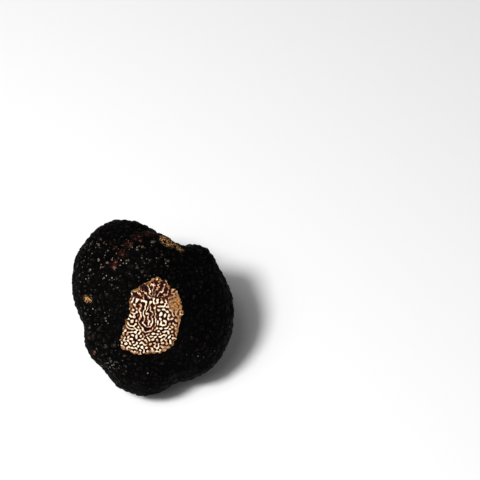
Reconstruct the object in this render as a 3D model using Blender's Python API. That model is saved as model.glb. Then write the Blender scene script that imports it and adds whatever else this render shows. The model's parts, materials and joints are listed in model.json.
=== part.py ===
"""A black truffle: one grown body of merged lobes, nicked with a knife to show its flesh.

Blender 4.5, metres, +Z up. The truffle stands on the flat spot under it, and the nicked face
looks forward (-Y) and up. The origin is under the middle of its box, on the surface it rests on.
"""

import math
from dataclasses import dataclass

import bmesh
import bpy
from mathutils import Matrix, Vector

MM = 0.001

# Driving dimensions, in millimetres and degrees.
FACE_TILT = 55.0  # how far the nicked face looks up from the horizon
FACE_CENTRE_HEIGHT = 21.0  # from the resting surface up to the middle of the lobes
SKIN_STEP = 1.7  # spacing of the points on the finished skin
LUMP_SIZE = 8.0  # width of the skin's slow swells
LUMP_DEPTH = 0.9
SHORTEST_EDGE = 0.25  # shorter edges, left where a cut passes close to a point, are merged
ON_PLANE = 0.001  # a point this near a cut counts as on it
CREASE_ANGLE = 35.0  # sharper edges, such as the rims of the cuts, stay crisp

# How the lobes grow together.
LOBE_FACETING = 4  # subdivisions of each lobe's icosphere
LOBE_BLEND = 0.5  # share of the way that each pass moves a point towards its neighbours' middle
LOBE_BLEND_PASSES = 4
LUMP_DETAIL = 1  # octaves of the swells


@dataclass(frozen=True)
class Lobe:
    """One swelling of the body, as an ellipsoid.

    Places are (right, up the face, out of the face), from the middle of the lobes.
    """

    name: str
    centre: tuple
    radii: tuple


@dataclass(frozen=True)
class Nick:
    """A flat knife cut: everything beyond the plane is gone."""

    name: str
    point: tuple
    normal: tuple


LOBES = (
    Lobe("core", (0.0, -1.0, -2.0), (17.2, 20.0, 17.0)),
    Lobe("shoulder", (-7.8, 6.5, -3.5), (15.0, 17.8, 14.5)),
    Lobe("crown", (-0.4, 9.9, 3.0), (10.4, 10.6, 9.5)),
    Lobe("ear", (11.5, 9.6, -1.5), (7.1, 7.6, 8.0)),
    Lobe("flank", (8.6, -2.2, -3.0), (14.3, 18.8, 15.0)),
    Lobe("heel", (-9.9, -8.8, 1.5), (9.1, 9.3, 10.5)),
    Lobe("toe", (-2.0, -12.8, -1.0), (12.6, 12.3, 12.0)),
    Lobe("cheek", (0.9, -1.8, 5.4), (12.6, 14.2, 12.6)),
    Lobe("chin", (-3.2, -7.4, 3.6), (10.4, 9.6, 12.0)),
    Lobe("nape", (-6.5, 7.0, -8.5), (11.5, 12.5, 12.0)),
    Lobe("rump", (7.0, -3.5, -9.0), (12.0, 13.0, 10.5)),
    Lobe("sole", (0.5, -7.0, -9.6), (12.5, 12.0, 12.0)),
    Lobe("back", (5.5, 7.5, -8.0), (11.0, 10.0, 11.0)),
)

NICKS = (
    Nick("upper", (1.0, -0.4, 15.65), (0.06, 0.08, 0.99)),
    Nick("lower", (-2.6, -8.2, 14.4), (-0.16, -0.26, 0.95)),
)

SKIN_COLOUR = (0.012, 0.010, 0.009, 1.0)
FLESH_COLOUR = (0.26, 0.15, 0.07, 1.0)
SKIN_ROUGHNESS = 0.62
FLESH_ROUGHNESS = 0.55


def face_frame():
    """The frame that the lobes and nicks are given in: X right, Y up the face, Z out of it."""
    tilt = math.radians(FACE_TILT)
    right = Vector((1, 0, 0))
    up = Vector((0, math.sin(tilt), math.cos(tilt)))
    out = right.cross(up)
    frame = Matrix((right, up, out)).transposed().to_4x4()
    frame.translation = Vector((0, 0, FACE_CENTRE_HEIGHT * MM))
    return frame


def clear_scene():
    for found in list(bpy.data.objects):
        bpy.data.objects.remove(found)


def add_lobe(mesh, lobe, frame):
    """Adds one ellipsoid to the mesh."""
    place = Matrix.Translation(Vector(lobe.centre) * MM)
    size = Matrix.Diagonal((*(radius * MM for radius in lobe.radii), 1.0))
    bmesh.ops.create_icosphere(
        mesh, subdivisions=LOBE_FACETING, radius=1.0, matrix=frame @ place @ size
    )


def gather_lobes(name, frame):
    """One object that holds every lobe as an ellipsoid, still overlapping."""
    mesh = bmesh.new()
    for lobe in LOBES:
        add_lobe(mesh, lobe, frame)
    data = bpy.data.meshes.new(name)
    mesh.to_mesh(data)
    mesh.free()
    body = bpy.data.objects.new(name, data)
    bpy.context.scene.collection.objects.link(body)
    return body


def grow_together(body):
    """Remeshes the overlapping lobes into one skin and softens the folds between them."""
    merge = body.modifiers.new("grow_together", "REMESH")
    merge.mode = "VOXEL"
    merge.voxel_size = SKIN_STEP * MM
    soften = body.modifiers.new("soften_folds", "SMOOTH")
    soften.factor = LOBE_BLEND
    soften.iterations = LOBE_BLEND_PASSES


def add_lumps(body):
    """Swells and sinks the skin a little, so that no lobe is a perfect ellipsoid."""
    pattern = bpy.data.textures.new("lumps", "CLOUDS")
    pattern.noise_scale = LUMP_SIZE * MM
    pattern.noise_depth = LUMP_DETAIL
    swell = body.modifiers.new("lumps", "DISPLACE")
    swell.texture = pattern
    swell.texture_coords = "LOCAL"
    swell.strength = LUMP_DEPTH * MM


def bake_modifiers(body):
    """Replaces the object's mesh with the one its modifiers make."""
    graph = bpy.context.evaluated_depsgraph_get()
    finished = bpy.data.meshes.new_from_object(body.evaluated_get(graph))
    body.modifiers.clear()
    body.data = finished
    finished.name = body.name


def slice_off(mesh, point, normal):
    """Removes what lies beyond a plane and closes the cut with one flat face."""
    everything = mesh.verts[:] + mesh.edges[:] + mesh.faces[:]
    cut = bmesh.ops.bisect_plane(
        mesh, geom=everything, plane_co=point, plane_no=normal, clear_outer=True, dist=ON_PLANE * MM
    )
    rim = [item for item in cut["geom_cut"] if isinstance(item, bmesh.types.BMEdge)]
    return bmesh.ops.contextual_create(mesh, geom=rim)["faces"]


def cut_body(body, frame):
    """The knife nicks, then the flat spot that the truffle rests on."""
    mesh = bmesh.new()
    mesh.from_mesh(body.data)
    for nick in NICKS:
        point = frame @ (Vector(nick.point) * MM)
        normal = (frame.to_3x3() @ Vector(nick.normal)).normalized()
        for face in slice_off(mesh, point, normal):
            face.material_index = 1
    slice_off(mesh, Vector((0, 0, 0)), Vector((0, 0, -1)))
    bmesh.ops.remove_doubles(mesh, verts=mesh.verts, dist=SHORTEST_EDGE * MM)
    bmesh.ops.recalc_face_normals(mesh, faces=mesh.faces)
    mesh.to_mesh(body.data)
    mesh.free()


def centre_on_origin(body):
    """Moves the mesh so that the origin is under the middle of its box."""
    corners = [Vector(corner) for corner in body.bound_box]
    middle = sum(corners, Vector()) / len(corners)
    body.data.transform(Matrix.Translation((-middle.x, -middle.y, 0)))


def plain_material(name, colour, roughness):
    material = bpy.data.materials.new(name)
    material.use_nodes = True
    shader = material.node_tree.nodes["Principled BSDF"]
    shader.inputs["Base Color"].default_value = colour
    shader.inputs["Roughness"].default_value = roughness
    shader.inputs["Metallic"].default_value = 0.0
    return material


def build():
    clear_scene()
    frame = face_frame()
    truffle = gather_lobes("truffle", frame)
    grow_together(truffle)
    add_lumps(truffle)
    bake_modifiers(truffle)
    truffle.data.materials.append(plain_material("skin", SKIN_COLOUR, SKIN_ROUGHNESS))
    truffle.data.materials.append(plain_material("flesh", FLESH_COLOUR, FLESH_ROUGHNESS))
    cut_body(truffle, frame)
    centre_on_origin(truffle)
    truffle.data.shade_smooth()
    truffle.data.set_sharp_from_angle(angle=math.radians(CREASE_ANGLE))
    return truffle


truffle = build()
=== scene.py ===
# %% [markdown]
# # A black truffle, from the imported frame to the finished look
#
# A black truffle is a lump of fungus that grows underground. It has no stem and no cap: lobes
# swell out of a core, and a tough black skin of small many-sided warts covers them. A seller
# nicks the skin with a knife, because the marbled flesh under it shows whether it is ripe.
# The cells below load the plain frame body, grow the warty skin over a copy of it, cut the
# nick afresh so that its rim is ragged, and give skin and flesh their finishes.

import json
import math

import bpy
import numpy as np
from mathutils import Matrix, Quaternion, Vector
from mathutils.bvhtree import BVHTree
from mathutils.kdtree import KDTree

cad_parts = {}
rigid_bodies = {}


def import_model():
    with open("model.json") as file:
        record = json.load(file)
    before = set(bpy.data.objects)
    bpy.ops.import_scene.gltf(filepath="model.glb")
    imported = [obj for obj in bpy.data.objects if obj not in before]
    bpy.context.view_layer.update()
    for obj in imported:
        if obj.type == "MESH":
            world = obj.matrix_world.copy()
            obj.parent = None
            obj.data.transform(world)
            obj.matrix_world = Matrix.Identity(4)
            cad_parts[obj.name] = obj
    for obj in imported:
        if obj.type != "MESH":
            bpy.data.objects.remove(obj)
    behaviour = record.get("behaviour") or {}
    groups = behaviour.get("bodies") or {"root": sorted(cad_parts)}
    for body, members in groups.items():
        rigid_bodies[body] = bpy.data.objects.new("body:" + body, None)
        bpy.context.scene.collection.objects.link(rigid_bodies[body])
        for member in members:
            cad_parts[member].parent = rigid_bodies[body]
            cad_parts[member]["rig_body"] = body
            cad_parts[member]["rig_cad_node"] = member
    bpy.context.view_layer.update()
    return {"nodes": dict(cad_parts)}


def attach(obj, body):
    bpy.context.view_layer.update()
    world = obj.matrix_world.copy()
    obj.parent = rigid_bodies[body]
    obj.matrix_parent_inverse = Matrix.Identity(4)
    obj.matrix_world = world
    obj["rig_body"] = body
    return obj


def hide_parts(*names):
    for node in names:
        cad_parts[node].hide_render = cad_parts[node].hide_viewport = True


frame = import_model()
MM = 0.001

# %% [markdown]
# ## Where the knife went
#
# The frame body is flat in three places: the two facets of the nick and the spot it rests on.
# Their planes are wanted again later, for the knife. They could be typed in, but then they
# would be wrong as soon as the frame changed, so they are measured: take the widest triangle,
# gather every triangle that lies in its plane, and go on with the widest one left.

# %% Measure the three flat places
SAME_DIRECTION = 0.9998  # the cosine of about one degree
SAME_PLANE = 0.03 * MM
SPARE_TRIES = 4  # the widest triangle need not lie in the widest place, so more are gathered


def flat_places(mesh, count):
    """The widest flat places of a mesh, as (area, a point in it, its normal), widest first."""
    normals = np.array([face.normal for face in mesh.polygons])
    centres = np.array([face.center for face in mesh.polygons])
    areas = np.array([face.area for face in mesh.polygons])
    offsets = np.einsum("ij,ij->i", normals, centres)
    left = np.ones(len(areas), bool)
    found = []
    for _ in range(SPARE_TRIES * count):
        widest = np.argmax(np.where(left, areas, 0))
        along = normals @ normals[widest] > SAME_DIRECTION
        level = abs(centres @ normals[widest] - offsets[widest]) < SAME_PLANE
        together = along & level & left
        left[together] = False
        middle = np.average(centres[together], axis=0, weights=areas[together])
        found.append((areas[together].sum(), Vector(middle), Vector(normals[widest])))
    return sorted(found, key=lambda place: -place[0])[:count]


cad_body = frame["nodes"]["truffle"]
places = flat_places(cad_body.data, 3)
resting_spot = min(places, key=lambda place: place[2].z)
facets = [place for place in places if place is not resting_spot]
facets.sort(key=lambda place: -place[1].z)
named_places = {"resting spot": resting_spot, "upper facet": facets[0], "lower facet": facets[1]}
for name, (area, _, normal) in named_places.items():
    print(name, round(area / MM**2), "mm2, faces", [round(part, 2) for part in normal])

# %% [markdown]
# ## Helpers for working by hand
#
# Nearly every operator acts on what is selected, so each step starts by selecting one object
# alone. In edit mode, faces and points are picked by where they are.

# %% Select one object, faces or points
def alone(piece):
    """Leaves just this object selected and active."""
    bpy.ops.object.select_all(action="DESELECT")
    piece.select_set(True)
    bpy.context.view_layer.objects.active = piece


def pick(piece, kind, wanted):
    """In edit mode, selects just the faces ("FACE") or points ("VERT") that wanted() is true of."""
    bpy.ops.mesh.select_mode(type=kind)
    bpy.ops.mesh.select_all(action="DESELECT")
    bpy.ops.object.mode_set(mode="OBJECT")
    for item in piece.data.polygons if kind == "FACE" else piece.data.vertices:
        item.select = wanted(item)
    bpy.ops.object.mode_set(mode="EDIT")


def apply_modifier(piece, kind, **settings):
    """Adds a modifier with these settings and applies it."""
    alone(piece)
    modifier = piece.modifiers.new(kind.lower(), kind)
    for setting, value in settings.items():
        setattr(modifier, setting, value)
    bpy.ops.object.modifier_apply(modifier=modifier.name)


def triangles(piece):
    piece.data.calc_loop_triangles()
    return len(piece.data.loop_triangles)


# %% [markdown]
# ## The uncut truffle
#
# A knife needs something to cut, and the frame body is already cut flat. So a copy of it is
# made whole first: its loose triangles are merged, each facet becomes one face again, and the
# faces are pulled out into a low dome, as the lobe was before the knife. Pulling out and
# shrinking twice gives the dome its round shoulder.

# %% Copy the frame body and dome the nick out again
DOME_STEPS = ((1.35 * MM, 0.78), (0.75 * MM, 0.62))  # how far out, then how much narrower
SAME_POINT = 0.001 * MM

alone(cad_body)
bpy.ops.object.duplicate()
truffle = bpy.context.object
truffle.name = truffle.data.name = "truffle_body"
truffle.parent = None
for mark in ("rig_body", "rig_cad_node"):  # these say that an object is the plain node itself
    del truffle[mark]
truffle.data.materials.clear()


def on_facet(face):
    """True of a face of the frame body that lies in one of the nick's two facets."""
    return any(
        face.normal.dot(normal) > SAME_DIRECTION and abs((face.center - point).dot(normal)) < SAME_PLANE
        for _, point, normal in facets
    )


bpy.ops.object.mode_set(mode="EDIT")
bpy.ops.mesh.select_all(action="SELECT")
bpy.ops.mesh.remove_doubles(threshold=SAME_POINT)
pick(truffle, "FACE", on_facet)
bpy.ops.mesh.dissolve_faces()
out_of_nick = sum((normal for _, _, normal in facets), Vector()).normalized()
nick_area = sum(area for area, _, _ in facets)
nick_middle = sum((point * area for area, point, _ in facets), Vector()) / nick_area
rise = 0.0
for out, narrower in DOME_STEPS:
    rise += out
    bpy.ops.mesh.extrude_region_move(TRANSFORM_OT_translate={"value": out_of_nick * out})
    bpy.ops.transform.resize(value=(narrower,) * 3, center_override=nick_middle + out_of_nick * rise)
bpy.ops.object.mode_set(mode="OBJECT")
print("uncut body:", len(truffle.data.polygons), "faces, dome", round(rise / MM, 2), "mm high")

# %% [markdown]
# ## A fine, even skin
#
# The copy's faces are over a millimetre across, and a wart is hardly two. A voxel remesh lays
# an even net of small squares over the whole body, and smoothing melts the old facets and the
# steps of the net away. Subdivision would keep the old triangles' pattern, which would show.

# %% Remesh and smooth
SKIN_NET = 0.32 * MM
MELT_ROUNDS = 40  # of smoothing

apply_modifier(truffle, "REMESH", mode="VOXEL", voxel_size=SKIN_NET)
apply_modifier(truffle, "SMOOTH", factor=0.5, iterations=MELT_ROUNDS)
print("skin net:", triangles(truffle), "triangles")

# %% [markdown]
# ## Places on the nicked face
#
# Marks on the skin and the flesh are told by where they are seen from in front of the nick:
# millimetres to the right and up the face, from the middle of the truffle. The finishes work
# in the same frame, so their sizes are plain millimetres too.

# %% The frame of the nicked face
FACE_TILT = math.radians(55)
OUT_OF_FACE = Vector((0, -math.cos(FACE_TILT), math.sin(FACE_TILT)))
WELL_IN_FRONT = 100  # millimetres, clear of the whole truffle

level_face = Matrix.Rotation(FACE_TILT - math.pi / 2, 4, "X")
outline = np.array([level_face @ vertex.co for vertex in cad_body.data.vertices])
middle = level_face.inverted() @ Vector((outline.min(0) + outline.max(0)) / 2)
to_face = level_face @ Matrix.Scale(1 / MM, 4) @ Matrix.Translation(-middle)
print("middle of the truffle as seen, mm:", [round(part / MM, 1) for part in middle])


def shape_at(shape, right, up):
    """The point and normal of a shape seen there, as millimetres right and up the face."""
    start = to_face.inverted() @ Vector((right, up, WELL_IN_FRONT))
    met, normal, _, _ = shape.ray_cast(start, -OUT_OF_FACE)
    if met is None:  # just past the outline, so the nearest place is taken
        met, normal, _, _ = shape.find_nearest(to_face.inverted() @ Vector((right, up, 0)))
    return met, normal


# %% [markdown]
# ## The crown's edge
#
# On the real truffle the front of the crown stands proud, and a deep crease runs behind it.
# The frame body has only a shallow dip there. Sinking a row of places with proportional
# editing, which drags the neighbours along with a soft fall-off, cuts the crease as a sculptor
# would press it in with a thumb, and the same move outwards raises the edge in front of it.

# %% Press the crease in and pull the edge out
CREASE = ((-11.6, 14.4), (-10.0, 17.4), (-7.6, 20.0), (-4.6, 21.9), (-1.4, 23.2))
CROWN_EDGE = ((-9.2, 13.4), (-7.4, 16.2), (-5.2, 18.4), (-2.2, 19.9), (1.4, 20.2), (4.4, 19.4))
PRESS_IN, PRESS_WIDTH = 0.9 * MM, 3.0 * MM
PULL_OUT, PULL_WIDTH = 0.45 * MM, 3.4 * MM
SOFTEN_ROUNDS = 6  # of smoothing, to take the corners off the crease


def drag(piece, places, amount, width):
    """Moves the skin out by an amount at each of these places, with a soft fall-off around."""
    shape = BVHTree.FromObject(piece, bpy.context.evaluated_depsgraph_get())
    finder = KDTree(len(piece.data.vertices))
    for vertex in piece.data.vertices:
        finder.insert(vertex.co, vertex.index)
    finder.balance()
    bpy.ops.object.mode_set(mode="EDIT")
    for right, up in places:
        met, outward = shape_at(shape, right, up)
        middle_point = finder.find(met)[1]
        pick(piece, "VERT", lambda point: point.index == middle_point)
        bpy.ops.transform.translate(
            value=outward * amount,
            use_proportional_edit=True,
            proportional_edit_falloff="SMOOTH",
            proportional_size=width,
        )
    bpy.ops.object.mode_set(mode="OBJECT")
    furthest = max(shape.find_nearest(vertex.co)[3] for vertex in piece.data.vertices)
    print("skin moved up to", round(furthest / MM, 2), "mm")


drag(truffle, CREASE, -PRESS_IN, PRESS_WIDTH)
drag(truffle, CROWN_EDGE, PULL_OUT, PULL_WIDTH)
apply_modifier(truffle, "SMOOTH", factor=0.5, iterations=SOFTEN_ROUNDS)

# %% [markdown]
# ## Helpers for nodes
#
# Blender's nodes do two jobs here: geometry nodes raise the warts, and shader nodes colour
# them. Both kinds of tree are built the same way, by adding a node, setting it and joining its
# inputs, so one helper writes both and keeps each pattern down to a line or two.

# %% Build trees of nodes
class Tree:
    """Adds nodes to a tree. A value given for an input is a constant or another node's output."""

    def __init__(self, tree):
        self.nodes = tree.nodes
        self.links = tree.links

    def add(self, kind, settings=None, **inputs):
        node = self.nodes.new(kind if "Node" in kind else "ShaderNode" + kind)
        for setting, value in (settings or {}).items():
            setattr(node, setting, value)
        for name, value in inputs.items():
            self.feed(node.inputs[name.replace("_", " ")], value)
        return node

    def feed(self, socket, value):
        if isinstance(value, bpy.types.NodeSocket):
            self.links.new(value, socket)
        else:
            socket.default_value = value

    def feed_all(self, sockets, values):
        for socket, value in zip(sockets, values):
            self.feed(socket, value)

    def math(self, operation, *values):
        node = self.add("Math", {"operation": operation})
        self.feed_all(node.inputs, values)
        return node.outputs[0]

    def vector(self, operation, *values):
        node = self.add("VectorMath", {"operation": operation})
        self.feed_all(node.inputs, values)
        return node.outputs["Value" if operation in ("DISTANCE", "DOT_PRODUCT") else 0]

    def parts(self, vector):
        """The three parts of a vector or a colour."""
        return self.add("SeparateXYZ", Vector=vector).outputs[:3]

    def ramp(self, value, low, high, to_low=0.0, to_high=1.0, smooth=True):
        """The value mapped from low..high to to_low..to_high, and held there beyond."""
        node = self.add("MapRange", {"interpolation_type": "SMOOTHSTEP" if smooth else "LINEAR"})
        self.feed_all(node.inputs, (value, low, high, to_low, to_high))
        return node.outputs[0]

    def most(self, *values):
        """The greatest of several values."""
        greatest = values[0]
        for value in values[1:]:
            greatest = self.math("MAXIMUM", greatest, value)
        return greatest

    def distance(self, across, along):
        """How far off a point is that lies so far across and so far along."""
        squares = [self.math("MULTIPLY", side, side) for side in (across, along)]
        return self.math("SQRT", self.math("ADD", *squares))


# %% [markdown]
# ## Lumps, then warts
#
# The skin is uneven at three sizes: slow lumps a few millimetres wide, the warts themselves,
# and a fine roughness on them. Cloud textures and the Displace modifier make the first and the
# last. The warts are low many-sided pyramids with sharp furrows between them, which is what a
# Voronoi pattern gives when it measures the distance to the nearest edge between two cells.
# Sculpting them by hand, one by one, would take days. A Voronoi texture in the Displace
# modifier would be quicker, but the finish wants the very same warts again, to paint dust, wear
# and highlights on their tips and shade into their furrows, and only the node version of the
# pattern is the same in geometry and in a material. So geometry nodes push the warts out.

# %% Push the skin in and out
LUMP_WIDTH, LUMP_HEIGHT = 3.6 * MM, 0.45 * MM
GRAIN_WIDTH, GRAIN_HEIGHT = 0.7 * MM, 0.09 * MM


def clouds(name, width, detail):
    pattern = bpy.data.textures.new(name, "CLOUDS")
    pattern.noise_scale = width
    pattern.noise_depth = detail
    return pattern


def push(piece, pattern, height):
    """Moves the surface out where the pattern is light, and in where it is dark."""
    apply_modifier(piece, "DISPLACE", texture=pattern, texture_coords="LOCAL", strength=height)


push(truffle, clouds("lumps", LUMP_WIDTH, 1), LUMP_HEIGHT)
smooth_shape = BVHTree.FromObject(truffle, bpy.context.evaluated_depsgraph_get())

# %% The pattern of warts, in millimetres
WART_WIDTH = 1.75
WART_REACH = 0.34  # from a furrow to where a wart is as high as it gets, in wart widths
WART_BEND = 0.5  # how far the pattern is pushed about, so that the furrows aren't straight


def wart_pattern(tree, place):
    """How far up its wart a place is, 0..1, and three numbers that differ from wart to wart."""
    bend = tree.add("TexNoise", Scale=1 / WART_WIDTH, Detail=1.0, Vector=place).outputs["Color"]
    bent = tree.vector("MULTIPLY_ADD", bend, (WART_BEND,) * 3, place)
    edges = tree.add("TexVoronoi", {"feature": "DISTANCE_TO_EDGE"}, Scale=1 / WART_WIDTH, Vector=bent)
    cells = tree.add("TexVoronoi", Scale=1 / WART_WIDTH, Vector=bent)
    upward = tree.ramp(edges.outputs["Distance"], 0, WART_REACH, smooth=False)
    return upward, tree.parts(cells.outputs["Color"])


# %% Raise the warts
WART_HEIGHT = 0.42 * MM
WART_SHORTEST = 0.45  # of the tallest wart's height
WART_SUNK = 0.45  # of that height too, so that the warts don't swell the truffle
WART_BULGE = 0.75  # the power that rounds a flank outwards, where 1 leaves it straight

raising = bpy.data.node_groups.new("raise_warts", "GeometryNodeTree")
raising.interface.new_socket("Geometry", in_out="INPUT", socket_type="NodeSocketGeometry")
raising.interface.new_socket("Geometry", in_out="OUTPUT", socket_type="NodeSocketGeometry")
work = Tree(raising)
place = work.add("GeometryNodeInputPosition").outputs[0]
upward, differs = wart_pattern(work, work.vector("DIVIDE", place, (MM,) * 3))
tallest = work.ramp(differs[0], 0, 1, WART_SHORTEST, 1, smooth=False)
rounded = work.math("POWER", upward, WART_BULGE)
raised = work.math("SUBTRACT", work.math("MULTIPLY", rounded, tallest), WART_SUNK)
outward = work.add("GeometryNodeInputNormal").outputs[0]
amount = work.math("MULTIPLY", raised, WART_HEIGHT)
spread = work.add("CombineXYZ", X=amount, Y=amount, Z=amount).outputs[0]
moved = work.add("GeometryNodeSetPosition", Offset=work.vector("MULTIPLY", outward, spread))
work.feed(moved.inputs["Geometry"], work.add("NodeGroupInput").outputs[0])
work.feed(work.add("NodeGroupOutput").inputs[0], moved.outputs[0])
apply_modifier(truffle, "NODES", node_group=raising)
push(truffle, clouds("grain", GRAIN_WIDTH, 2), GRAIN_HEIGHT)
print("warts about", WART_WIDTH, "mm wide and up to", round(WART_HEIGHT / MM, 2), "mm high")

# %% [markdown]
# ## The spot it rests on
#
# A real truffle balances on the tips of a few warts. For this one to rest steadily, its lowest
# warts are pressed to one level: every point below the resting surface is picked and scaled to
# no height about it, which is how a modeller flattens a base.

# %% Press the lowest warts flat
TOUCHING = 0.0001 * MM

bpy.ops.object.mode_set(mode="EDIT")
pick(truffle, "VERT", lambda point: point.co.z < 0)
bpy.ops.transform.resize(value=(1, 1, 0), center_override=(0, 0, 0))
bpy.ops.object.mode_set(mode="OBJECT")
pressed = sum(point.co.z < TOUCHING for point in truffle.data.vertices)
print("points pressed flat:", pressed)

# %% [markdown]
# ## Two finishes, made later
#
# The knife gives its own finish to the faces it makes, so both materials have to exist before
# the cut. They are only named here, and their nodes come after the shape is done.

# %% Name the two materials
skin = bpy.data.materials.new("warty_skin")
flesh = bpy.data.materials.new("veined_flesh")
SKIN_SLOT, FLESH_SLOT = 0, 1
truffle.data.materials.append(skin)
truffle.data.materials.append(flesh)
print("finishes:", [material.name for material in truffle.data.materials])

# %% [markdown]
# ## The nick
#
# Bisecting would give a dead flat face and a clean rim. A real cut drags a little and waves
# with the hand, and the warts at its rim tear. So each facet is cut by a blade: a fine grid in
# the facet's plane, waved a little, with its edge pulled up into a closed block. Taking the
# block away from the body leaves the grid's own fine faces as the cut.

# %% Make a blade and cut with it
BLADE_WIDTH = 30 * MM
BLADE_NET = 0.18 * MM
BLADE_HEIGHT = 9 * MM
WAVE_WIDTH, WAVE_HEIGHT = 3.0 * MM, 0.30 * MM
DRAG_WIDTH, DRAG_HEIGHT = 0.8 * MM, 0.07 * MM
SLIVER = 0.004 * MM  # points nearer than this are merged after the cut
SHARP = math.radians(50)  # edges sharper than this stay sharp when the rest is shaded smooth
CUTS = (  # how much deeper than the frame's facet, and how much the blade leans right and up
    ("upper_blade", 0.14 * MM, -0.060, -0.005),
    ("lower_blade", 0.36 * MM, 0.080, -0.01),
)


def make_blade(name, point, normal):
    """A closed block whose lower face is a fine, slightly waved grid in the given plane."""
    steps = round(BLADE_WIDTH / BLADE_NET)
    bpy.ops.object.select_all(action="DESELECT")
    bpy.ops.mesh.primitive_grid_add(
        x_subdivisions=steps,
        y_subdivisions=steps,
        size=BLADE_WIDTH,
        location=point,
        rotation=normal.to_track_quat("Z", "Y").to_euler(),
    )
    blade = bpy.context.object
    blade.name = blade.data.name = name
    bpy.ops.object.transform_apply()
    blade.data.materials.append(skin)
    blade.data.materials.append(flesh)
    push(blade, clouds(name + "_wave", WAVE_WIDTH, 0), WAVE_HEIGHT)
    push(blade, clouds(name + "_drag", DRAG_WIDTH, 1), DRAG_HEIGHT)
    bpy.ops.object.mode_set(mode="EDIT")
    bpy.ops.mesh.select_mode(type="EDGE")
    bpy.ops.mesh.select_all(action="DESELECT")
    bpy.ops.mesh.select_non_manifold()
    bpy.ops.mesh.extrude_region_move(TRANSFORM_OT_translate={"value": normal * BLADE_HEIGHT})
    bpy.ops.mesh.edge_face_add()
    bpy.ops.mesh.select_all(action="SELECT")
    bpy.ops.mesh.normals_make_consistent(inside=False)
    bpy.ops.object.mode_set(mode="OBJECT")
    for face in blade.data.polygons:
        face.material_index = FLESH_SLOT
    return blade


for (name, deeper, lean_right, lean_up), (_, point, normal) in zip(CUTS, facets):
    leaning = (normal + Vector((lean_right, lean_up * normal.z, -lean_up * normal.y))).normalized()
    blade = make_blade(name, point - normal * deeper, leaning)
    apply_modifier(truffle, "BOOLEAN", operation="DIFFERENCE", solver="EXACT", object=blade)
    bpy.data.objects.remove(blade)
    cut = sum(face.area for face in truffle.data.polygons if face.material_index == FLESH_SLOT)
    print(name, "cut:", round(cut / MM**2), "mm2 of flesh so far")

bpy.ops.object.mode_set(mode="EDIT")
bpy.ops.mesh.select_all(action="SELECT")
bpy.ops.mesh.remove_doubles(threshold=SLIVER)
bpy.ops.mesh.select_mode(type="EDGE")
bpy.ops.mesh.select_all(action="DESELECT")
bpy.ops.mesh.select_non_manifold()
bpy.ops.object.mode_set(mode="OBJECT")
print("edges that don't join two faces:", sum(edge.select for edge in truffle.data.edges))
bpy.ops.object.shade_smooth_by_angle(angle=SHARP)
print("cut body:", triangles(truffle), "triangles")

# %% [markdown]
# ## What the finishes need to know
#
# Two things can't be had from a point's place alone: where it lay before the warts were raised,
# which says what part of which wart it is, and how far into the flesh it lies from the rim,
# where the flesh is browner. Both are measured on the mesh and stored as attributes, in
# millimetres, which the materials then read.

# %% Store the place before the warts, and the distance from the rim
def store(piece, name, kind, field, values):
    attribute = piece.data.attributes.new(name, kind, "POINT")
    attribute.data.foreach_set(field, np.asarray(values, np.float32).ravel())


def smooth_places(piece):
    """Where each point lies on the smooth lumpy shape, in millimetres."""
    return [smooth_shape.find_nearest(point.co)[0] / MM for point in piece.data.vertices]


def rim_distances(piece):
    """How far each point is from the line where skin and flesh meet, in millimetres."""
    sides = {slot: set() for slot in (SKIN_SLOT, FLESH_SLOT)}
    for face in piece.data.polygons:
        sides[face.material_index].update(face.vertices)
    rim = sides[SKIN_SLOT] & sides[FLESH_SLOT]
    tree = KDTree(len(rim))
    for index in rim:
        tree.insert(piece.data.vertices[index].co, index)
    tree.balance()
    return [tree.find(point.co)[2] / MM for point in piece.data.vertices]


distances = rim_distances(truffle)
store(truffle, "smooth_place", "FLOAT_VECTOR", "vector", smooth_places(truffle))
store(truffle, "rim_distance", "FLOAT", "value", distances)
cut_faces = [face for face in truffle.data.polygons if face.material_index == FLESH_SLOT]
furthest_in = max(distances[index] for face in cut_faces for index in face.vertices)
print("the flesh reaches", round(furthest_in, 1), "mm in from its rim")

# %% [markdown]
# ## Helpers for the finishes
#
# Skin and marbling run on without a break whichever way the surface turns. Flat images wrapped
# around a lump would need seams, and would be stretched between them. So each material starts
# from the place in millimetres, in the frame of the nicked face, and these helpers draw
# blends, colour scales, noises and soft round spots on it.

# %% Build materials
def seen_at(right, up):
    """The place of the smooth skin seen there, in the frame of the nicked face."""
    return to_face @ shape_at(smooth_shape, right, up)[0]


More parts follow.
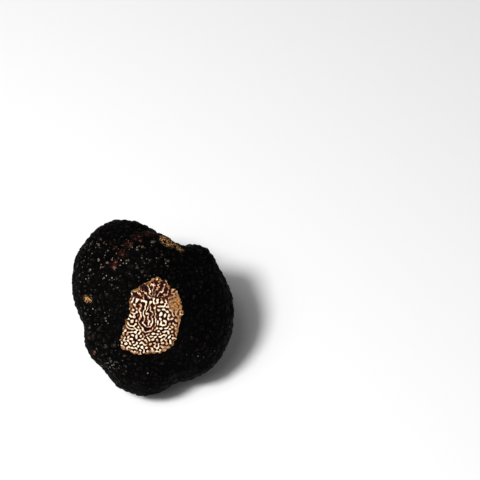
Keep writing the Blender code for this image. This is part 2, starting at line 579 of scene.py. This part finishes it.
class Shader(Tree):
    """The tree of a material: its places are in millimetres in the frame of the nicked face."""

    def __init__(self, material):
        material.use_nodes = True
        super().__init__(material.node_tree)
        self.surface = self.nodes["Principled BSDF"]
        turned = self.add("Mapping", Rotation=to_face.to_euler(), Scale=Vector((1, 1, 1)) / MM)
        turned.inputs["Location"].default_value = to_face.translation
        self.feed(turned.inputs["Vector"], self.add("TexCoord").outputs["Object"])
        self.place = turned.outputs[0]

    def blend(self, share, first, second):
        """The first colour where share is 0, the second where it is 1."""
        node = self.add("Mix", {"data_type": "RGBA"})
        self.feed_all((node.inputs[0], node.inputs[6], node.inputs[7]), (share, first, second))
        return node.outputs[2]

    def tones(self, value, stops):
        """Colours along a value, in place of the two that the node comes with at its ends."""
        node = self.add("ValToRGB", Fac=value)
        elements = node.color_ramp.elements
        for position, tone in stops:
            elements.new(position).color = tone
        elements.remove(elements[-1])
        elements.remove(elements[0])
        return node.outputs[0]

    def noise(self, width, detail=2.0, roughness=0.5):
        """Soft random values around 0.5, in lumps about this many millimetres wide."""
        node = self.add("TexNoise", Scale=1 / width, Detail=detail, Roughness=roughness)
        self.feed(node.inputs["Vector"], self.place)
        return node.outputs[0]

    def near(self, point, inner, outer):
        """1 within inner of a point, falling to 0 at outer."""
        return self.ramp(self.vector("DISTANCE", self.place, point), inner, outer, 1.0, 0.0)

    def bump(self, height, deepest, strength):
        """Lets the light see a relief, this many millimetres deep, that the mesh doesn't have."""
        node = self.add("Bump", Strength=strength, Distance=deepest * MM, Height=height)
        self.feed(self.surface.inputs["Normal"], node.outputs[0])


# %% [markdown]
# ## Warty skin
#
# The skin of a ripe black truffle is matt and nearly as black as soot. What the eye sees is the
# warts: their tips carry pale specks, partly dust and wear and partly painted highlights, each
# wart its own tone, and the furrows are painted blacker than the flanks as painted shade. The
# specks are painted mostly on the left, the side the lamps light, which is painted light too.
# Painting the specks by hand on an image would tie them to one shape. Here the wart pattern
# that raised the warts is read again, so each speck sits on its tip. Then come the marks that
# this truffle has: rusty warts along the rim of its crown, a scraped tan patch at the top, and
# a few grains of pale soil.

# %% Pale grains, of soil and painted glints
def grains(shader, cell, size, share, seed):
    """Pale grains, one in some of the cells of a Voronoi pattern, as 0..1."""
    moved = shader.vector("ADD", shader.place, (seed, 2 * seed, -seed))
    cells = shader.add("TexVoronoi", Scale=1 / cell, Vector=moved, Randomness=1.0)
    lot, wide, bright = shader.parts(cells.outputs["Color"])
    radius = shader.ramp(wide, 0, 1, 0.5 * size / cell, size / cell, smooth=False)
    grain = shader.ramp(shader.math("DIVIDE", cells.outputs["Distance"], radius), 0.5, 1.0, 1.0, 0.0)
    picked = shader.math("LESS_THAN", lot, share)
    tone = shader.math("POWER", bright, 2.0)
    return shader.math("MULTIPLY", shader.math("MULTIPLY", grain, picked), tone)


# %% Paint the skin
# SHADED_FURROW_BLACK, in the furrows, is painted shade against the lighter FLANK.
SHADED_FURROW_BLACK = (0.0009, 0.0007, 0.0007, 1)
FLANK = (0.0026, 0.0022, 0.0021, 1)
# WORN_TIP_AND_HIGHLIGHT is partly dust and wear and partly a painted highlight on the wart tips.
WORN_TIP_AND_HIGHLIGHT = (0.22, 0.20, 0.17, 1)
RUST_TIP = (0.30, 0.10, 0.06, 1)
RUST = (0.060, 0.018, 0.010, 1)
PALE_SOIL_AND_GLINT = (0.62, 0.55, 0.46, 1)
TAN_SCAR = (0.66, 0.34, 0.14, 1)
SKIN_ROUGHNESS = (0.55, 0.80)
SKIN_SHINE = 0.014
PIT_DEPTH, PIT_STRENGTH = 0.10, 0.6
RUSTY_LOT, RUSTY_WART = (0.80, 0.85), 0.8  # about one wart in six is rusty, and how much it is
TIP_SHARE, RUST_SHARE = 0.7, 0.7  # how much of the skin's own black these cover

# A mark is (right, up), how far around that it is at its full, and how far out it is gone.
# Painted light and dust: these places all lie on the left, the lit side, so the pale tip specks and
# fine grains are painted there and fade away from it.
DUST_AND_LIT_PLACES = (
    ((-13.5, 13.0), 3.0, 14.0),
    ((-1.0, 13.5), 2.0, 10.0),
    ((-16.0, -2.0), 2.0, 9.0),
    ((-12.0, -15.0), 2.0, 10.0),
)
CROWN_RIM = ((-10.6, 12.0), (-8.6, 14.8), (-6.8, 17.4), (-4.2, 19.3), (-1.2, 20.4), (1.6, 20.4))
RUST_FULL, RUST_GONE = 0.4, 2.1
SCARS = (
    ((4.1, 18.4), 1.3, 3.0),
    ((7.0, 16.8), 1.1, 2.3),
    ((-18.3, 2.3), 0.5, 1.4),
    ((-17.2, 2.0), 0.3, 1.1),
)
# How much of the painted tip highlights and dust shows away from those places.
DUST_AND_HIGHLIGHT_EVERYWHERE = 0.10


def spots(shader, marks):
    """Soft round marks, each 1 in its middle and 0 away from it."""
    return [shader.near(seen_at(*at), inner, outer) for at, inner, outer in marks]


paint = Shader(skin)
smooth_place = paint.add("Attribute", {"attribute_name": "smooth_place"}).outputs["Vector"]
upward, differs = wart_pattern(paint, smooth_place)
# Painted shade: the furrows between the warts are painted blacker than their flanks.
colour = paint.blend(paint.ramp(upward, 0.1, 0.7), SHADED_FURROW_BLACK, FLANK)

# Painted light: the tip specks are gathered on the lit left side, made uneven like dust.
lit_side_and_dust_places = paint.most(DUST_AND_HIGHLIGHT_EVERYWHERE, *spots(paint, DUST_AND_LIT_PLACES))
uneven = paint.ramp(paint.noise(5.0, 2.0), 0.35, 0.65, 0.35, 1.0)
dust_and_lit_side = paint.math("MULTIPLY", lit_side_and_dust_places, uneven)
rougher = paint.ramp(paint.noise(0.8), 0.3, 0.7, 0.75, 1.2)
# Painted highlight and wear: the wart tips are painted pale, each wart to its own degree.
tip = paint.ramp(paint.math("MULTIPLY", upward, rougher), 0.80, 1.0)
tip_wear_and_highlight = paint.math("MULTIPLY", tip, paint.ramp(differs[1], 0.1, 1.0, 0.05, 1.0))

crown_rim = paint.most(*spots(paint, [(at, RUST_FULL, RUST_GONE) for at in CROWN_RIM]))
rusty = paint.most(crown_rim, paint.ramp(differs[2], *RUSTY_LOT, 0, RUSTY_WART))
tip_colour = paint.blend(rusty, WORN_TIP_AND_HIGHLIGHT, RUST_TIP)
shown = paint.math("MULTIPLY", tip_wear_and_highlight, paint.math("MULTIPLY", dust_and_lit_side, TIP_SHARE))
colour = paint.blend(shown, colour, tip_colour)
# The fine pale grains are partly soil and partly painted glints, shown on the lit side and along the
# crown's rim.
fine = grains(paint, cell=0.95, size=0.27, share=0.95, seed=3)
fine_share = paint.math("MULTIPLY", fine, paint.math("ADD", dust_and_lit_side, crown_rim))
colour = paint.blend(fine_share, colour, paint.blend(rusty, PALE_SOIL_AND_GLINT, RUST_TIP))
broken = paint.ramp(paint.noise(0.45, 2.0, 0.7), 0.49, 0.60)
flecked = paint.math("MULTIPLY", crown_rim, broken)
colour = paint.blend(paint.math("MULTIPLY", flecked, RUST_SHARE), colour, RUST)

scar = paint.most(*spots(paint, SCARS))
colour = paint.blend(paint.math("MULTIPLY", scar, broken), colour, TAN_SCAR)

few = grains(paint, cell=2.3, size=0.34, share=0.35, seed=11)
colour = paint.blend(paint.math("MULTIPLY", few, uneven), colour, PALE_SOIL_AND_GLINT)

paint.feed(paint.surface.inputs["Base Color"], colour)
paint.feed(paint.surface.inputs["Roughness"], paint.ramp(paint.noise(2.5), 0.3, 0.7, *SKIN_ROUGHNESS))
paint.surface.inputs["Specular IOR Level"].default_value = SKIN_SHINE
paint.bump(paint.noise(0.28, 4.0, 0.6), PIT_DEPTH, PIT_STRENGTH)
print("skin material:", len(skin.node_tree.nodes), "nodes")

# %% [markdown]
# ## Veined flesh
#
# Inside, a ripe truffle is black to dark red, marbled by white veins. They are thin sheets
# folded through the flesh, so a cut shows them as lines of nearly one width that wander, fork
# and run side by side: a labyrinth. Noise gives blobs, and a Voronoi pattern closed cells.
# A labyrinth comes from adding many waves of one length that run in all directions, because
# the sum then has that length everywhere and no direction of its own. Two orders are mixed in,
# as on the real cut: veins that fan out above the middle, and a few long loops nested below it.

# %% The labyrinth
VEIN_SPACING = 1.04
WAVES = 11
VEIN_EDGE = 1.6  # the sum of the waves where a vein is whitest, and below zero, flesh blackest
TURN_STRAY, LENGTH_STRAY = 0.37, 0.12  # how uneven the waves' turns and lengths are
WAVE_DIVE = 0.4  # how much the waves run into the flesh, which makes the veins sheets
WIDE_FOLDS, SMALL_FOLDS = (4.0, 1.6), (1.3, 0.45)  # how wide, and how far they push


def warped(shader, place, width, amount):
    """Places pushed about by a noise of this width, so that what is drawn on them bends."""
    bend = shader.add("TexNoise", Scale=1 / width, Detail=1.0, Vector=place)
    centred = shader.vector("SUBTRACT", bend.outputs["Color"], (0.5, 0.5, 0.5))
    return shader.vector("MULTIPLY_ADD", centred, (amount,) * 3, place)


def labyrinth(shader, place):
    """Waves of one length in all directions, added up: 1 within a vein and -1 between veins.

    The sines of the wave's number stand in for chance, and come out the same each time.
    """
    total = 0.0
    for index in range(WAVES):
        heading = math.pi * (index + TURN_STRAY * math.sin(5.0 * index)) / WAVES
        length = VEIN_SPACING * (1 + LENGTH_STRAY * math.sin(2.3 * index))
        reach = 2 * math.pi / length
        running = (reach * math.cos(heading), reach * math.sin(heading), WAVE_DIVE * reach)
        start = 1.7 * index * index  # any steps do, as long as the crests never all meet
        along = shader.vector("DOT_PRODUCT", place, running)
        wave = shader.math("COSINE", shader.math("ADD", along, start))
        total = shader.math("ADD", total, wave)
    return shader.ramp(total, -VEIN_EDGE, VEIN_EDGE, -1, 1, smooth=False)


carve = Shader(flesh)
folded = warped(carve, warped(carve, carve.place, *WIDE_FOLDS), *SMALL_FOLDS)
maze = labyrinth(carve, folded)
print("labyrinth:", WAVES, "waves, about", VEIN_SPACING, "mm long")

# %% The fan and the loops
WIDE_BENDS, SMALL_BENDS = (2.2, 2.4), (0.9, 0.5)  # as the folds, for the spokes and loops
FAN_CENTRE, FAN_SPOKES = (0.0, 1.4), 19
FAN_BEGINS = (0.4, 2.2)  # above its centre: where the spokes show first, and where they are full
FAN_ENDS = (4.6, 6.6)  # from its centre: up to where they are full, and where they are gone
LOOP_FOOT = (-1.4, -4.4)  # where the innermost loop turns; above it the loops run straight up
LOOPS_END = (1.9, 3.2)  # from the innermost: up to where they are full, and where they are gone
LOOPS_TOP = (0.2, 1.6)  # up the face: the same
FAN_STRAY, LOOP_STRAY = 0.8, 0.5  # how much the labyrinth bends the spokes and the loops
FAN_DARKER = 0.08

wandering = warped(carve, warped(carve, carve.place, *WIDE_BENDS), *SMALL_BENDS)
right, up, _ = carve.parts(wandering)
across = carve.math("SUBTRACT", right, FAN_CENTRE[0])
above = carve.math("SUBTRACT", up, FAN_CENTRE[1])
angle = carve.math("ARCTAN2", across, above)
strayed = carve.math("MULTIPLY", maze, FAN_STRAY)
fan = carve.math("COSINE", carve.math("ADD", carve.math("MULTIPLY", angle, FAN_SPOKES), strayed))
from_centre = carve.distance(across, above)
fan_share = carve.math(
    "MULTIPLY", carve.ramp(above, *FAN_BEGINS), carve.ramp(from_centre, *FAN_ENDS, 1, 0)
)

beside = carve.math("SUBTRACT", right, LOOP_FOOT[0])
below = carve.math("SUBTRACT", up, carve.math("MAXIMUM", up, LOOP_FOOT[1]))
from_loop = carve.distance(beside, below)
strayed = carve.math("MULTIPLY", maze, LOOP_STRAY)
rings = carve.math("MULTIPLY", from_loop, 2 * math.pi / VEIN_SPACING)
loops = carve.math("COSINE", carve.math("ADD", rings, strayed))
loop_share = carve.math(
    "MULTIPLY", carve.ramp(from_loop, *LOOPS_END, 1, 0), carve.ramp(up, *LOOPS_TOP, 1, 0)
)

# A ramp blends two patterns when they stand at its two ends.
mixed = carve.ramp(fan_share, 0, 1, maze, fan, smooth=False)
mixed = carve.ramp(loop_share, 0, 1, mixed, loops, smooth=False)
uneven = carve.ramp(carve.noise(1.6, 3.0), 0.3, 0.7, 0.18, 0.52, smooth=False)
uneven = carve.math("SUBTRACT", uneven, carve.math("MULTIPLY", fan_share, FAN_DARKER))
veins = carve.math("MULTIPLY_ADD", mixed, 0.5, uneven)
print("fan centre and foot of the loops, mm right and up:", FAN_CENTRE, LOOP_FOOT)

# %% Paint the flesh
DARK_CORE = (0.005, 0.001, 0.001, 1)
DARK_FLESH = (0.060, 0.005, 0.004, 1)
RED_EDGE = (0.20, 0.024, 0.012, 1)
TAN_EDGE = (0.50, 0.22, 0.09, 1)
CREAM = (0.95, 0.83, 0.62, 1)
STAINED_DARK = (0.030, 0.005, 0.003, 1)
STAINED_BROWN = (0.19, 0.060, 0.020, 1)
STAINED_PALE = (0.58, 0.32, 0.12, 1)
SPONGE_DARK = (0.050, 0.009, 0.004, 1)
SPONGE_TAN = (0.35, 0.160, 0.050, 1)
CHIP = (0.80, 0.55, 0.25, 1)
VEIN_TONES = ((0.30, DARK_CORE), (0.48, DARK_FLESH), (0.58, RED_EDGE), (0.66, TAN_EDGE), (0.84, CREAM))
STAINED_TONES = ((0.36, STAINED_DARK), (0.62, STAINED_BROWN), (0.86, STAINED_PALE))
TAN_SPOT = ((6.6, 1.2), 1.4, 3.4)  # a mark, as those on the skin
FLESH_ROUGHNESS, FLESH_SHINE = 0.6, 0.05
VEIN_RELIEF, RELIEF_STRENGTH = 0.06, 0.5
BROWNER_SIDE, BROWNER_SHARE = (3.6, 6.4), 0.7  # where, to the right, the flesh turns browner
RIM_WIDTH, RIM_RAGGED = 0.8, 1.1

blotches = carve.ramp(carve.noise(1.7, 2.0), 0.50, 0.68, 0.0, 0.75)
stained = carve.math("MAXIMUM", blotches, carve.ramp(right, *BROWNER_SIDE, 0, BROWNER_SHARE))
marbled = carve.tones(veins, VEIN_TONES)
marbled = carve.blend(stained, marbled, carve.tones(veins, STAINED_TONES))

depth = carve.add("Attribute", {"attribute_name": "rim_distance"}).outputs["Fac"]
strays = carve.ramp(carve.noise(1.3, 2), 0.25, 0.75, -RIM_RAGGED, RIM_RAGGED, smooth=False)
ragged = carve.math("ADD", depth, strays)
rim_band = carve.ramp(ragged, 0.0, RIM_WIDTH, 1, 0)
mottled = carve.ramp(carve.noise(0.55, 3, 0.6), 0.38, 0.56)
spongy = carve.blend(mottled, SPONGE_DARK, SPONGE_TAN)
chips = carve.ramp(carve.noise(0.45, 2.0), 0.62, 0.68)
spongy = carve.blend(carve.math("MULTIPLY", chips, 0.8), spongy, CHIP)
tan_spot = spots(carve, [TAN_SPOT])[0]
tan_share = carve.math("MAXIMUM", carve.math("MULTIPLY", rim_band, 0.8), tan_spot)
carve.feed(carve.surface.inputs["Base Color"], carve.blend(tan_share, marbled, spongy))
carve.surface.inputs["Roughness"].default_value = FLESH_ROUGHNESS
carve.surface.inputs["Specular IOR Level"].default_value = FLESH_SHINE
carve.bump(veins, VEIN_RELIEF, RELIEF_STRENGTH)
print("flesh material:", len(flesh.node_tree.nodes), "nodes")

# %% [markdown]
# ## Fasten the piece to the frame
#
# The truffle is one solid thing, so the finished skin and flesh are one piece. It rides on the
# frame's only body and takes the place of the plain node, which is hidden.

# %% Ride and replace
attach(truffle, "root")
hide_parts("truffle")
print(truffle.name, "is on the frame:", triangles(truffle), "triangles")

# %% [markdown]
# ## The floor
#
# The truffle lies on a bare white surface, as wares are laid out to be shown. A seamless sweep
# of paper would do for a low view, but here a wide matt plane is enough: it fills every view
# from above and takes a clean soft shadow.

# %% Lay the floor
FLOOR_WIDTH = 6.0
FLOOR_WHITE, FLOOR_ROUGHNESS = (0.92, 0.92, 0.92, 1), 0.9

bpy.ops.object.select_all(action="DESELECT")
bpy.ops.mesh.primitive_plane_add(size=FLOOR_WIDTH, location=(0, 0, 0))
floor = bpy.context.object
floor.name = "floor"
white = bpy.data.materials.new("white_floor")
white.use_nodes = True
matt = white.node_tree.nodes["Principled BSDF"].inputs
matt["Base Color"].default_value = FLOOR_WHITE
matt["Roughness"].default_value = FLOOR_ROUGHNESS
matt["Specular IOR Level"].default_value = 0.0
floor.data.materials.append(white)
print("floor:", FLOOR_WIDTH, "m wide")

# %% [markdown]
# ## Light
#
# The shadow tells where the light is: high up, to the left and in front. Its dark part has a
# fairly narrow edge and then a long pale tail, which one lamp can't give. So two round lamps
# hang in nearly the same place, a small one for the edge and a wide one for the tail, and the
# white of the room fills in the rest. The skin is so dark that it hardly answers to any of
# them, which is why the pale specks on its wart tips, partly wear and partly painted
# highlights, matter so much.

# %% Hang the lamps
ROOM_LIGHT = 0.13


def area_light(name, place, size, power):
    bpy.ops.object.light_add(type="AREA", location=place)
    lamp = bpy.context.object
    lamp.name = name
    lamp.data.shape = "DISK"
    lamp.data.size = size
    lamp.data.energy = power
    lamp.rotation_euler = (middle - lamp.location).to_track_quat("-Z", "Y").to_euler()
    print(name, "hangs", round((lamp.location - middle).length, 2), "m from the truffle")


area_light("window", place=(-0.31, -0.28, 0.68), size=0.17, power=5.8)
area_light("bright_sky", place=(-0.31, -0.24, 0.70), size=0.55, power=2.1)
world = bpy.data.worlds.new("room")
world.use_nodes = True
world.node_tree.nodes["Background"].inputs["Color"].default_value = (1, 1, 1, 1)
world.node_tree.nodes["Background"].inputs["Strength"].default_value = ROOM_LIGHT
bpy.context.scene.world = world
bpy.context.scene.view_settings.view_transform = "Standard"

# %% [markdown]
# ## The camera
#
# The view is steep, 55 degrees above the floor, and straight onto the nick. A long lens from
# half a metre off keeps the truffle's outline nearly free of perspective. The truffle stands
# low and to the left in the view, so the camera looks past it by a small turn and tilt, and
# needs no shift.

# %% Set up the camera
LENS, SENSOR = 135.0, 36.0
VIEW_WIDTH = 134.4 * MM  # how much the view spans where the truffle stands
LEFT, DOWN = 24.4 * MM, 18.9 * MM  # how far the truffle stands off the view's middle

distance = VIEW_WIDTH * LENS / SENSOR
bpy.ops.object.camera_add()
camera = bpy.context.object
camera.data.lens = LENS
camera.data.sensor_width = SENSOR
camera.location = middle + OUT_OF_FACE * distance
camera.rotation_mode = "QUATERNION"
level_look = (-OUT_OF_FACE).to_track_quat("-Z", "Y")
turn = Quaternion((0, 1, 0), -math.atan(LEFT / distance))
tilt = Quaternion((1, 0, 0), math.atan(DOWN / distance))
camera.rotation_quaternion = level_look @ turn @ tilt
camera.data.clip_start = 0.01
camera.data.clip_end = 20.0
bpy.context.scene.camera = camera
print("camera:", round(distance, 2), "m from the truffle")
